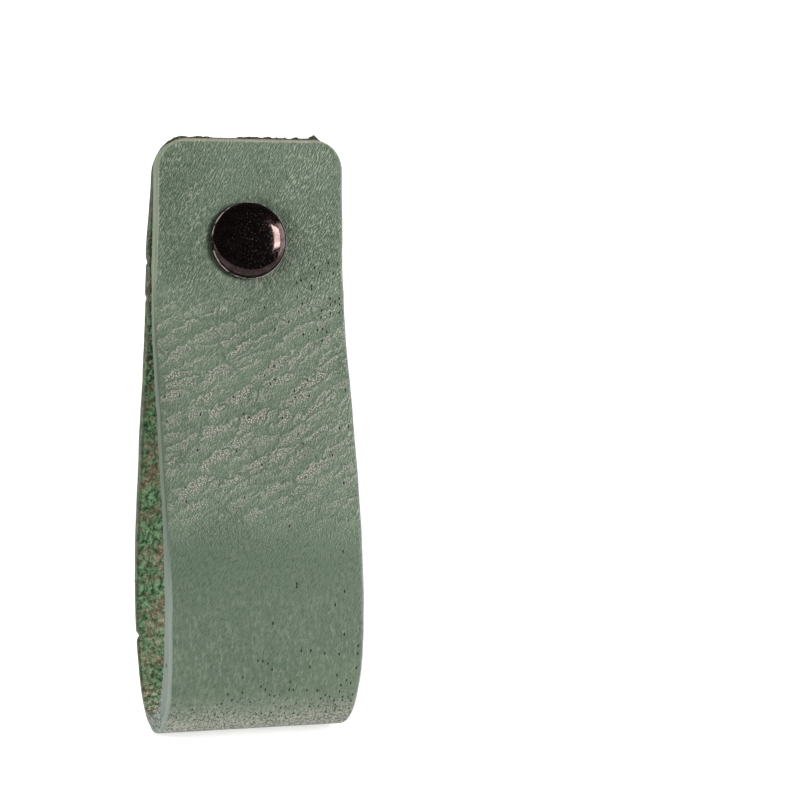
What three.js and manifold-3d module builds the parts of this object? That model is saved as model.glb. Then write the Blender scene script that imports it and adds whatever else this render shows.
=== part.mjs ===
// Leather strap pull for a door or drawer front. One strap is folded into a hanging loop, and
// its two punched ends are held one on the other by a domed cap nut, which takes a machine
// screw from behind, through the panel. The strap is drawn as it stands free of the panel.
// Millimetres. Origin: where the screw's axis leaves the back of the strap.
// +Y runs along the screw into the panel, so the pull's front faces -Y; +Z is up.
import * as THREE from 'three';
import { mergeVertices } from 'three/addons/utils/BufferGeometryUtils.js';
import Module from 'manifold-3d';

// The strap as it is cut, flat
const strapLength = 165;
const strapWidth = 25;
const leatherThickness = 2.5;
const edgeRounding = 0.3; // sanded long edges
const cornerRadius = 4; // the four corners, seen from the front
const holeFromEnd = 13; // screw axis to each end of the strap

// How the loop hangs: each belly is the leaf's furthest swing from its clamped face
const leafGap = 0.3; // between the rough inner sides, where the two ends lie together
const clampedBelow = 5.3; // below the screw the leaves still run side by side this far
const frontBelly = 10;
const backBelly = 9;
const frontBellyRise = 14; // above the lowest point of the strap's middle layer
const backBellyRise = 16;

// Stiffness of the leather, as the reach of each bend along the strap
const leavingReach = 8;
const frontUpperReach = 16.3;
const frontLowerReach = 12.2;
const foldReach = 4;
const backLowerReach = 10.6;
const backUpperReach = 13.6;

// Cap nut
const capDiameter = 10;
const capHeight = 1.9; // above its own underside
const domeFlatness = 3.5; // 2 is half an ellipse, more is flatter in the middle
const rimHeight = 0.4; // straight wall below the dome
const capSeat = 0.2; // how deep the cap presses into the front leaf
const seatClearance = 0.3; // round the pressed-in rim
const postDiameter = 5.4;
const postRecess = 0.6; // the post ends this far short of the strap's back
const postChamfer = 0.3;
const capWeb = 0.6; // metal left between the blind bore and the underside's level
const holeClearance = 0.3; // post to the punched hole

// Screw, M4 pan head, standing as it does through a panel of this thickness
const panelThickness = 18;
const screwReach = 4; // past the panel's front, into the cap nut; with the panel, an M4 x 22
const threadDiameter = 4;
const threadPitch = 0.7;
const boreClearance = 0.25; // bore to screw, at the thread's pitch line
const tipChamfer = 0.6;
const headDiameter = 8;
const headHeight = 2.6;
const headRimHeight = 0.8; // straight wall of the head above its underside
const headFlatRadius = 3; // the head's top is nearly flat this far out
const recessWidth = 4.4;
const recessFootWidth = 1.8;
const recessDepth = 1.7;
const recessSlot = 1;

// Facets
const strapSteps = 110;
const edgeFacets = 2;
const turnedFacets = 48;
const curveFacets = 6;
const domeFacets = 14;
const cutMargin = 1; // cutters run past the leather by this much

// What follows from the sizes above
const stack = 2 * leatherThickness + leafGap; // both leaves, front face to back face
const holeRadius = postDiameter / 2 + holeClearance;
const capBackY = -(stack - capSeat);
const postEndY = -postRecess;
const screwRadius = (threadDiameter - 0.6495 * threadPitch) / 2; // pitch line of an M thread
const boreRadius = screwRadius + boreClearance;
const boreEndY = capBackY - capWeb;

const wasm = await Module();
wasm.setup();

function solidFrom(geometry) {
  const bare = geometry.clone();
  bare.deleteAttribute('normal');
  bare.deleteAttribute('uv');
  const welded = mergeVertices(bare, 1e-4);
  return new wasm.Manifold(new wasm.Mesh({
    numProp: 3,
    vertProperties: new Float32Array(welded.attributes.position.array),
    triVerts: new Uint32Array(welded.index.array),
  }));
}

function geometryFrom(solid) {
  const { vertProperties, triVerts } = solid.getMesh();
  const geometry = new THREE.BufferGeometry();
  geometry.setAttribute('position', new THREE.BufferAttribute(vertProperties, 3));
  geometry.setIndex(new THREE.BufferAttribute(triVerts, 1));
  geometry.computeVertexNormals();
  return geometry;
}

// The middle layer of the folded strap, from the front end down, round and up to the back end
function foldPath(lowestZ) {
  const at = (y, z) => new THREE.Vector3(0, y, z);
  const frontY = -(stack - leatherThickness / 2);
  const backY = -leatherThickness / 2;
  const bend = (start, leave, arrive, end) =>
    new THREE.CubicBezierCurve3(start, start.clone().add(leave), end.clone().add(arrive), end);

  const frontEnd = at(frontY, holeFromEnd);
  const frontLeaves = at(frontY, -clampedBelow);
  const frontOut = at(frontY - frontBelly, lowestZ + frontBellyRise);
  const lowest = at(-stack / 2, lowestZ);
  const backOut = at(backY + backBelly, lowestZ + backBellyRise);
  const backLeaves = at(backY, -clampedBelow);
  const backEnd = at(backY, holeFromEnd);

  const path = new THREE.CurvePath();
  path.add(new THREE.LineCurve3(frontEnd, frontLeaves));
  path.add(bend(frontLeaves, at(0, -leavingReach), at(0, frontUpperReach), frontOut));
  path.add(bend(frontOut, at(0, -frontLowerReach), at(-foldReach, 0), lowest));
  path.add(bend(lowest, at(foldReach, 0), at(0, -backLowerReach), backOut));
  path.add(bend(backOut, at(0, backUpperReach), at(0, -leavingReach), backLeaves));
  path.add(new THREE.LineCurve3(backLeaves, backEnd));
  return path;
}

// The loop hangs as low as the cut length of the strap lets it
function foldPathOfCutLength() {
  let lowestZ = holeFromEnd - strapLength / 2;
  for (let pass = 0; pass < 12; pass++) {
    lowestZ += (foldPath(lowestZ).getLength() - strapLength) / 2;
  }
  return foldPath(lowestZ);
}

// Section of the leather: x is its thickness, y its width
function strapSection() {
  const x = leatherThickness / 2 - edgeRounding;
  const y = strapWidth / 2 - edgeRounding;
  const quarter = Math.PI / 2;
  const section = new THREE.Shape();
  section.absarc(x, y, edgeRounding, 0, quarter);
  section.absarc(-x, y, edgeRounding, quarter, 2 * quarter);
  section.absarc(-x, -y, edgeRounding, 2 * quarter, 3 * quarter);
  section.absarc(x, -y, edgeRounding, 3 * quarter, 4 * quarter);
  return section;
}

// Waste outside one rounded corner, through both leaves; side is 1 for right, -1 for left
function cornerWaste(side) {
  const edgeX = side * strapWidth / 2;
  const centreX = edgeX - side * cornerRadius;
  const outsideX = edgeX + side * cutMargin;
  const centreZ = holeFromEnd - cornerRadius;
  const aboveZ = holeFromEnd + cutMargin;
  const outline = new THREE.Shape();
  outline.moveTo(centreX, aboveZ);
  outline.lineTo(outsideX, aboveZ);
  outline.lineTo(outsideX, centreZ);
  outline.absarc(centreX, centreZ, cornerRadius, side > 0 ? 0 : Math.PI, Math.PI / 2, side < 0);
  const waste = new THREE.ExtrudeGeometry(outline, {
    depth: stack + 2 * cutMargin,
    curveSegments: curveFacets,
    bevelEnabled: false,
  });
  waste.rotateX(Math.PI / 2);
  waste.translate(0, cutMargin, 0);
  return solidFrom(waste);
}

// A round cutter on the screw's axis, between two depths
function punch(radius, fromY, toY) {
  const tool = new THREE.CylinderGeometry(radius, radius, toY - fromY, turnedFacets);
  tool.translate(0, (fromY + toY) / 2, 0);
  return solidFrom(tool);
}

function strapGeometry() {
  const folded = new THREE.ExtrudeGeometry(strapSection(), {
    extrudePath: foldPathOfCutLength(),
    steps: strapSteps,
    curveSegments: edgeFacets,
  });
  const leather = solidFrom(folded)
    .subtract(cornerWaste(1))
    .subtract(cornerWaste(-1))
    .subtract(punch(holeRadius, -stack - cutMargin, cutMargin))
    .subtract(punch(capDiameter / 2 + seatClearance, -stack - cutMargin, capBackY));
  return geometryFrom(leather);
}

// Turned in one piece: low dome that curves ever faster towards its rim, hollow post behind it
function capNutGeometry() {
  const faceY = capBackY - capHeight;
  const rimY = capBackY - rimHeight;
  const capRadius = capDiameter / 2;
  const postRadius = postDiameter / 2;
  const profile = new THREE.Path();
  profile.moveTo(0, faceY);
  for (let i = 1; i <= domeFacets; i++) {
    const outwards = Math.sin((Math.PI / 2) * (i / domeFacets));
    const depth = 1 - Math.sqrt(1 - outwards ** domeFlatness);
    profile.lineTo(capRadius * outwards, faceY + (rimY - faceY) * depth);
  }
  profile.lineTo(capRadius, capBackY);
  profile.lineTo(postRadius, capBackY);
  profile.lineTo(postRadius, postEndY - postChamfer);
  profile.lineTo(postRadius - postChamfer, postEndY);
  profile.lineTo(boreRadius, postEndY);
  profile.lineTo(boreRadius, boreEndY);
  profile.lineTo(0, boreEndY);
  return new THREE.LatheGeometry(profile.getPoints(curveFacets), turnedFacets);
}

// One of the two crossed wedges of the driver recess, in the screw head's outer face
function recessWedge() {
  const outerY = panelThickness + headHeight;
  const wedge = new THREE.Shape();
  wedge.moveTo(-recessFootWidth / 2, outerY - recessDepth);
  wedge.lineTo(recessFootWidth / 2, outerY - recessDepth);
  wedge.lineTo(recessWidth / 2, outerY);
  wedge.lineTo(recessWidth / 2, outerY + cutMargin);
  wedge.lineTo(-recessWidth / 2, outerY + cutMargin);
  wedge.lineTo(-recessWidth / 2, outerY);
  const blade = new THREE.ExtrudeGeometry(wedge, { depth: recessSlot, bevelEnabled: false });
  blade.translate(0, 0, -recessSlot / 2);
  return blade;
}

function screwGeometry() {
  const outerY = panelThickness + headHeight;
  const headRadius = headDiameter / 2;
  const profile = new THREE.Path();
  profile.moveTo(0, -screwReach);
  profile.lineTo(screwRadius - tipChamfer, -screwReach);
  profile.lineTo(screwRadius, tipChamfer - screwReach);
  profile.lineTo(screwRadius, panelThickness);
  profile.lineTo(headRadius, panelThickness);
  profile.lineTo(headRadius, panelThickness + headRimHeight);
  profile.bezierCurveTo(headRadius, outerY, headFlatRadius, outerY, 0, outerY);
  const turned = solidFrom(new THREE.LatheGeometry(profile.getPoints(curveFacets), turnedFacets));
  const cross = solidFrom(recessWedge()).add(solidFrom(recessWedge().rotateY(Math.PI / 2)));
  return geometryFrom(turned.subtract(cross));
}

const sageLeather = new THREE.MeshStandardMaterial({ color: 0x6d8672, roughness: 0.62, metalness: 0 });
const blackNickel = new THREE.MeshStandardMaterial({ color: 0x2a2224, roughness: 0.18, metalness: 1 });
const zincedSteel = new THREE.MeshStandardMaterial({ color: 0xb4b6b8, roughness: 0.35, metalness: 1 });

function piece(name, geometry, material) {
  const mesh = new THREE.Mesh(geometry, material);
  mesh.name = name;
  return mesh;
}

const group = new THREE.Group();
group.add(piece('strap', strapGeometry(), sageLeather));
group.add(piece('cap_nut', capNutGeometry(), blackNickel));
group.add(piece('mounting_screw', screwGeometry(), zincedSteel));

export default group;
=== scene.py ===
import math

import bpy
import numpy as np
from mathutils import Euler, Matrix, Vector


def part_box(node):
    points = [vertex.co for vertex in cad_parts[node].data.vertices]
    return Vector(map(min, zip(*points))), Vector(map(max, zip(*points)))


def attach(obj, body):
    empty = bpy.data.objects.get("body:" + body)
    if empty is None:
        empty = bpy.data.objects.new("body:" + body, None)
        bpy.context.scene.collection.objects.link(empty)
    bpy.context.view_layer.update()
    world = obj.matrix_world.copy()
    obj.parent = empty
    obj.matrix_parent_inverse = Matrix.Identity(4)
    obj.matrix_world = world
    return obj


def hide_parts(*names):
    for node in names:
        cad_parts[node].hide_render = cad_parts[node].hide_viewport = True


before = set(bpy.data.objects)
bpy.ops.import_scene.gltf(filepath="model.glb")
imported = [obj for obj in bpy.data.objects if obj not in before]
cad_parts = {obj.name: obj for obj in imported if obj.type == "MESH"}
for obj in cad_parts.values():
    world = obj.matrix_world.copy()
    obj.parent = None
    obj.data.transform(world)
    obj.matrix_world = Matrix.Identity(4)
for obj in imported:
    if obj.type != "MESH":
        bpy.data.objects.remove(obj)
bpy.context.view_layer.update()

MM = 0.001

# Fold of the strap
# One strip of full grain leather, 165 x 25 mm. It leaves the cap nut as two leaves lying on each
# other, swings out in a front and a back belly, and rolls over at the bottom.
STRAP_LENGTH = 165 * MM
LEATHER = 2.5 * MM
HOLE_FROM_END = 13 * MM
CLAMPED_BELOW = 5.3 * MM
FRONT_BELLY_RISE = 14 * MM
BACK_BELLY_RISE = 16 * MM
LEAVING_REACH = 8 * MM
FRONT_REACHES = (16.3 * MM, 12.2 * MM)
BACK_REACHES = (10.6 * MM, 13.6 * MM)
FOLD_REACH = 4 * MM
LEAF_GAP = 0.3 * MM
END_REACH = 1 * MM
SPARE_PATH = 2 * MM
SAG = 0.15 * MM

strap_low, strap_high = (Vector(corner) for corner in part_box("strap"))
STRAP_WIDTH = strap_high.x - strap_low.x
STACK = 2 * LEATHER + LEAF_GAP
half = LEATHER / 2
front_y = half - STACK
back_y = -half
lowest_z = strap_low.z + half - SAG


def fold_path():
    """The strap's middle layer as a bezier curve, from the front end round to the back end."""
    front_z = lowest_z + FRONT_BELLY_RISE
    back_z = lowest_z + BACK_BELLY_RISE
    up, down, forward, back = (0, 1), (0, -1), (-1, 0), (1, 0)
    stops = [
        (front_y, strap_high.z, up, END_REACH, down, END_REACH),
        (front_y, -CLAMPED_BELOW, up, END_REACH, down, LEAVING_REACH),
        (strap_low.y + half, front_z, up, FRONT_REACHES[0], down, FRONT_REACHES[1]),
        (-STACK / 2, lowest_z, forward, FOLD_REACH, back, FOLD_REACH),
        (strap_high.y - half, back_z, down, BACK_REACHES[0], up, BACK_REACHES[1]),
        (back_y, -CLAMPED_BELOW, down, LEAVING_REACH, up, END_REACH),
        (back_y, strap_high.z + SPARE_PATH, down, END_REACH, up, END_REACH),
    ]
    curve = bpy.data.curves.new("fold_path", "CURVE")
    curve.dimensions = "3D"
    curve.resolution_u = 64
    spline = curve.splines.new("BEZIER")
    spline.bezier_points.add(len(stops) - 1)
    for point, (y, z, before, before_reach, after, after_reach) in zip(spline.bezier_points, stops):
        point.handle_left_type = point.handle_right_type = "FREE"
        point.co = (0, y, z)
        point.handle_left = (0, y + before[0] * before_reach, z + before[1] * before_reach)
        point.handle_right = (0, y + after[0] * after_reach, z + after[1] * after_reach)
    path = bpy.data.objects.new("fold_path", curve)
    bpy.context.collection.objects.link(path)
    return path, spline.calc_length() - SPARE_PATH


path, path_length = fold_path()

# The blank
# The strip as it is cut and punched, lying flat: x across, y along from the front end, z through
# the leather with the grain side up. Corners are rounded, and the cut edges are sanded.
CORNER_RADIUS = 4 * MM
EDGE_ROUNDING = 0.3 * MM
HOLE_RADIUS = 3 * MM
COLUMNS = 80
ROW_STEP = 0.36 * MM
CORNER_ROWS = 10
ROUNDING_STEPS = 4
WALL_STEPS = 6
GRAIN, EDGE, FLESH = 0, 1, 2


def blank_rows():
    """How far each row is turned into a corner, or how far along the strap it lies."""
    turns = [math.pi / 2 * i / CORNER_ROWS for i in range(CORNER_ROWS)]
    straight = STRAP_LENGTH - 2 * CORNER_RADIUS
    steps = round(straight / ROW_STEP)
    along = [CORNER_RADIUS + straight * i / steps for i in range(steps + 1)]
    return (
        [("start", turn) for turn in turns]
        + [("straight", y) for y in along]
        + [("end", turn) for turn in reversed(turns)]
    )


def row_at(row, inset):
    """Half the width and the place along the strap of a row, on an outline drawn inset inwards."""
    kind, value = row
    if kind == "straight":
        return STRAP_WIDTH / 2 - inset, value
    arc = CORNER_RADIUS - inset
    half_width = STRAP_WIDTH / 2 - CORNER_RADIUS + arc * math.sin(value)
    y = CORNER_RADIUS - arc * math.cos(value)
    return half_width, y if kind == "start" else STRAP_LENGTH - y


def edge_profile():
    """Inset, height and material of each ring round the cut edge, from grain side to flesh side."""
    rings = []
    for step in range(1, ROUNDING_STEPS + 1):
        turn = math.pi / 2 * step / ROUNDING_STEPS
        inset = EDGE_ROUNDING * (1 - math.sin(turn))
        drop = EDGE_ROUNDING * (1 - math.cos(turn))
        rings.append((inset, half - drop, GRAIN if step == 1 else EDGE))
    for step in range(1, WALL_STEPS):
        rings.append((0.0, (half - EDGE_ROUNDING) * (1 - 2 * step / WALL_STEPS), EDGE))
    rings += [(inset, -height, EDGE) for inset, height, _ in reversed(rings[:ROUNDING_STEPS])]
    return rings


def make_blank():
    rows = blank_rows()
    across = np.linspace(-1, 1, COLUMNS + 1)
    per_side = len(rows) * (COLUMNS + 1)
    points, faces, skins = [], [], []
    for height in (half, -half):
        for row in rows:
            half_width, y = row_at(row, EDGE_ROUNDING)
            points += [(c * half_width, y, height) for c in across]

    def index(side, row, column):
        return side * per_side + row * (COLUMNS + 1) + column

    centres = [Vector((0, HOLE_FROM_END)), Vector((0, STRAP_LENGTH - HOLE_FROM_END))]

    def punched(row, column):
        corners = [index(0, row + a, column + b) for a in (0, 1) for b in (0, 1)]
        middle = sum((Vector(points[i][:2]) for i in corners), Vector((0, 0))) / 4
        return any((middle - centre).length < HOLE_RADIUS for centre in centres)

    gone = {
        (row, column)
        for row in range(len(rows) - 1)
        for column in range(COLUMNS)
        if punched(row, column)
    }
    for row in range(len(rows) - 1):
        for column in range(COLUMNS):
            if (row, column) in gone:
                continue
            a, b = index(0, row, column), index(0, row, column + 1)
            c, d = index(0, row + 1, column + 1), index(0, row + 1, column)
            faces += [(a, b, c, d), tuple(i + per_side for i in (d, c, b, a))]
            skins += [GRAIN, FLESH]
    # The wall of each punched hole, and its rim drawn onto the punch's circle
    for row, column in sorted(gone):
        sides = {
            (row - 1, column): ((row, column + 1), (row, column)),
            (row + 1, column): ((row + 1, column), (row + 1, column + 1)),
            (row, column - 1): ((row, column), (row + 1, column)),
            (row, column + 1): ((row + 1, column + 1), (row, column + 1)),
        }
        for beside, (first, second) in sides.items():
            if beside in gone:
                continue
            a, b = index(0, *first), index(0, *second)
            faces.append((a, b, b + per_side, a + per_side))
            skins.append(EDGE)
            for rim in (a, b):
                flat = Vector(points[rim][:2])
                centre = min(centres, key=lambda spot: (flat - spot).length)
                snapped = centre + (flat - centre).normalized() * HOLE_RADIUS
                points[rim] = (*snapped, half)
                points[rim + per_side] = (*snapped, -half)

    last = len(rows) - 1
    walk = [(0, c) for c in range(COLUMNS)] + [(r, COLUMNS) for r in range(last)]
    walk += [(last, c) for c in range(COLUMNS, 0, -1)] + [(r, 0) for r in range(last, 0, -1)]
    ring = [index(0, row, column) for row, column in walk]
    for inset, height, skin in edge_profile() + [(EDGE_ROUNDING, -half, EDGE)]:
        if height == -half:
            new = [index(1, row, column) for row, column in walk]
        else:
            new = list(range(len(points), len(points) + len(walk)))
            for row, column in walk:
                half_width, y = row_at(rows[row], inset)
                points.append((across[column] * half_width, y, height))
        for i, start in enumerate(ring):
            following = (i + 1) % len(ring)
            faces.append((ring[following], start, new[i], new[following]))
            skins.append(skin)
        ring = new
    mesh = bpy.data.meshes.new("strap")
    mesh.from_pydata(points, [], faces)
    mesh.polygons.foreach_set("material_index", skins)
    mesh.polygons.foreach_set("use_smooth", [True] * len(faces))
    mesh.update()
    return mesh


# Bending and creasing the blank
# Leather keeps its length along the middle layer. Bent away from the grain it creases on the face
# under the cap nut; rolled over at the bottom it is drawn smooth, narrower outside than inside.
CREASE_DEPTH = 0.16 * MM
CREASES_PER_M = 520
CREASE_CLIMB = (7.0, 0.25)
CREASES_BEGIN = (16.5 * MM, 24 * MM)  # like all such steps, from the strap's nearer end
CREASES_END = (53.5 * MM, 44 * MM)
NAP_DEPTH = 0.10 * MM
CAP_SEAT = 0.22 * MM
CAP_RADIUS = 5 * MM
PUCKER_DEPTH = 0.22 * MM
PUCKER_TURN = 6 * MM
TOP_TAPERS = (0.265 * MM, 0.34 * MM)  # front leaf and back leaf, towards the top
TOP_SHIFTS = (0.215 * MM, 0.49 * MM)
FRONT_END_RISE = 0.24 * MM
FRONT_END_SKEW = 0.018
BACK_END_RISES = (0.30 * MM, 0.55 * MM)  # left and right
BACK_END_RAGGED = 0.6 * MM
TUFT_ACROSS = 9.2 * MM
TUFT_RISE = 0.5 * MM
GIVE = 0.017
SIDEWAYS_CURL = 0.18
LEAN, WANDER = 0.10 * MM, 0.24 * MM
NICKS = ((98.4 * MM, 0.42 * MM), (144.4 * MM, 0.16 * MM), (149.3 * MM, 0.22 * MM))


def named(sockets, name):
    """The socket of that name or number that the node's settings leave switched on."""
    if isinstance(name, int):
        return sockets[name]
    return next(s for s in sockets if s.name == name and s.enabled)


def put(tree, kind, inputs=None, **settings):
    """Adds a node, sets it up, and links or fills the inputs given."""
    made = tree.nodes.new(kind)
    for name, value in settings.items():
        setattr(made, name, value)
    for name, value in (inputs or {}).items():
        socket = named(made.inputs, name)
        if isinstance(value, bpy.types.NodeSocket):
            tree.links.new(value, socket)
        else:
            socket.default_value = value
    return made


def calc(tree, operation, *values):
    inputs = dict(enumerate(values))
    return put(tree, "ShaderNodeMath", inputs, operation=operation).outputs[0]


def times(tree, first, second):
    return calc(tree, "MULTIPLY", first, second)


def weighed(tree, value, weight, base):
    """Value times weight, plus base."""
    return calc(tree, "MULTIPLY_ADD", value, weight, base)


def vector_calc(tree, operation, *values):
    made = put(tree, "ShaderNodeVectorMath", dict(enumerate(values)), operation=operation)
    return made.outputs["Value" if operation in ("LENGTH", "DOT_PRODUCT", "DISTANCE") else "Vector"]


def scaled(tree, vector, factor):
    made = put(tree, "ShaderNodeVectorMath", {0: vector, "Scale": factor}, operation="SCALE")
    return made.outputs["Vector"]


def ramp(tree, value, low, high, to_low=0.0, to_high=1.0):
    """A soft step of value from low to high."""
    made = put(
        tree, "ShaderNodeMapRange",
        {"Value": value, "From Min": low, "From Max": high, "To Min": to_low, "To Max": to_high},
        interpolation_type="SMOOTHSTEP",
    )
    return made.outputs["Result"]


def within(tree, value, begins, ends):
    """A stretch of value, with a soft step where it begins and another where it ends."""
    return times(tree, ramp(tree, value, *begins), ramp(tree, value, *ends))


def parts(tree, vector):
    """A vector's x, y and z."""
    return tuple(put(tree, "ShaderNodeSeparateXYZ", {0: vector}).outputs)


def joined(tree, x, y, z):
    return put(tree, "ShaderNodeCombineXYZ", {0: x, 1: y, 2: z}).outputs[0]


def noise(tree, vector, scale, detail=2.0, roughness=0.5, distortion=0.0):
    """Noise with scale in ups and downs for each metre."""
    made = put(
        tree, "ShaderNodeTexNoise",
        {"Vector": vector, "Scale": scale, "Detail": detail, "Roughness": roughness,
         "Distortion": distortion},
    )
    return named(made.outputs, "Fac")


def new_tree(name, inputs):
    tree = bpy.data.node_groups.new(name, "GeometryNodeTree")
    tree.interface.new_socket("Geometry", in_out="INPUT", socket_type="NodeSocketGeometry")
    for label, kind in inputs:
        tree.interface.new_socket(label, in_out="INPUT", socket_type=kind)
    tree.interface.new_socket("Geometry", in_out="OUTPUT", socket_type="NodeSocketGeometry")
    return tree, tree.nodes.new("NodeGroupInput").outputs


def finish_tree(tree, geometry):
    put(tree, "NodeGroupOutput", {"Geometry": geometry})


def run_tree(obj, tree, values):
    """Runs a tree on an object once, and leaves a plain mesh."""
    modifier = obj.modifiers.new(tree.name, "NODES")
    modifier.node_group = tree
    for item in tree.interface.items_tree:
        if item.name in values:
            modifier[item.identifier] = values[item.name]
    view = bpy.context.evaluated_depsgraph_get()
    made = bpy.data.meshes.new_from_object(obj.evaluated_get(view), depsgraph=view)
    obj.modifiers.remove(modifier)
    obj.data = made


def spread(tree, vector, scale, amount):
    """A vector that wanders by amount, with scale in turns for each metre."""
    made = put(tree, "ShaderNodeTexNoise", {"Vector": vector, "Scale": scale, "Detail": 2.0})
    centred = vector_calc(tree, "SUBTRACT", named(made.outputs, "Color"), (0.5, 0.5, 0.5))
    return scaled(tree, centred, 2 * amount)


def from_nearer_end(tree, along):
    return calc(tree, "MINIMUM", along, calc(tree, "SUBTRACT", STRAP_LENGTH, along))


def from_outline(tree, x, along):
    """How far inside the outline of the blank a point lies, near enough along its border."""
    sideways = calc(tree, "SUBTRACT", calc(tree, "ABSOLUTE", x), STRAP_WIDTH / 2 - CORNER_RADIUS)
    endways = calc(tree, "SUBTRACT", CORNER_RADIUS, from_nearer_end(tree, along))
    sideways, endways = (calc(tree, "MAXIMUM", part, 0.0) for part in (sideways, endways))
    reach = joined(tree, sideways, endways, 0.0)
    return calc(tree, "SUBTRACT", CORNER_RADIUS, vector_calc(tree, "LENGTH", reach))


def creases(tree, flat):
    """Overlapping pads of creased grain, the cracks above them, and the lips of their upper edges.

    They climb to the right, less so at the left edge, between the cap nut and the loop's belly.
    """
    x, along, _ = parts(tree, flat)
    from_end = from_nearer_end(tree, along)
    from_left = calc(tree, "ADD", x, STRAP_WIDTH / 2)
    climb = times(tree, weighed(tree, from_left, *CREASE_CLIMB), from_left)
    level = calc(tree, "ADD", along, climb)
    place = joined(tree, times(tree, x, 0.48), level, 0.0)
    place = vector_calc(tree, "ADD", place, spread(tree, flat, 190, 0.9 * MM))
    place = vector_calc(tree, "ADD", place, spread(tree, flat, 900, 0.95 * MM))
    grid = {"Vector": place, "Scale": CREASES_PER_M}
    cells = put(tree, "ShaderNodeTexVoronoi", grid, voronoi_dimensions="2D")
    walls = put(
        tree, "ShaderNodeTexVoronoi", grid, voronoi_dimensions="2D", feature="DISTANCE_TO_EDGE",
    )
    local = vector_calc(tree, "SUBTRACT", place, cells.outputs["Position"])
    drop = vector_calc(tree, "DOT_PRODUCT", local, (0.3, 1.0, 0.0))
    crest = ramp(tree, drop, 0.50 / CREASES_PER_M, -0.36 / CREASES_PER_M)
    lot = parts(tree, cells.outputs["Color"])[0]
    zone = within(tree, from_end, CREASES_BEGIN, CREASES_END)
    zone = times(tree, zone, weighed(tree, lot, 0.55, 0.45))
    border = walls.outputs["Distance"]
    pad = times(tree, times(tree, crest, ramp(tree, border, 0.0, 0.26)), zone)
    above = ramp(tree, drop, 0.1 / CREASES_PER_M, -0.1 / CREASES_PER_M)
    # The grain face paints shade into these cracks above the pads
    shaded_crack = times(tree, ramp(tree, border, 0.08, 0.0), above)
    # The grain face paints a highlight onto the lips of the pads' upper edges
    lip_highlight = within(tree, border, (0.20, 0.12), (0.04, 0.10))
    upper = times(tree, above, ramp(tree, from_end, 33 * MM, 25 * MM, 0.35, 1.0))
    lip_highlight = times(tree, lip_highlight, upper)
    pad = times(tree, pad, ramp(tree, from_end, 19 * MM, 32 * MM, 0.25, 1.0))
    return pad, times(tree, shaded_crack, zone), times(tree, lip_highlight, zone)


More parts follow.
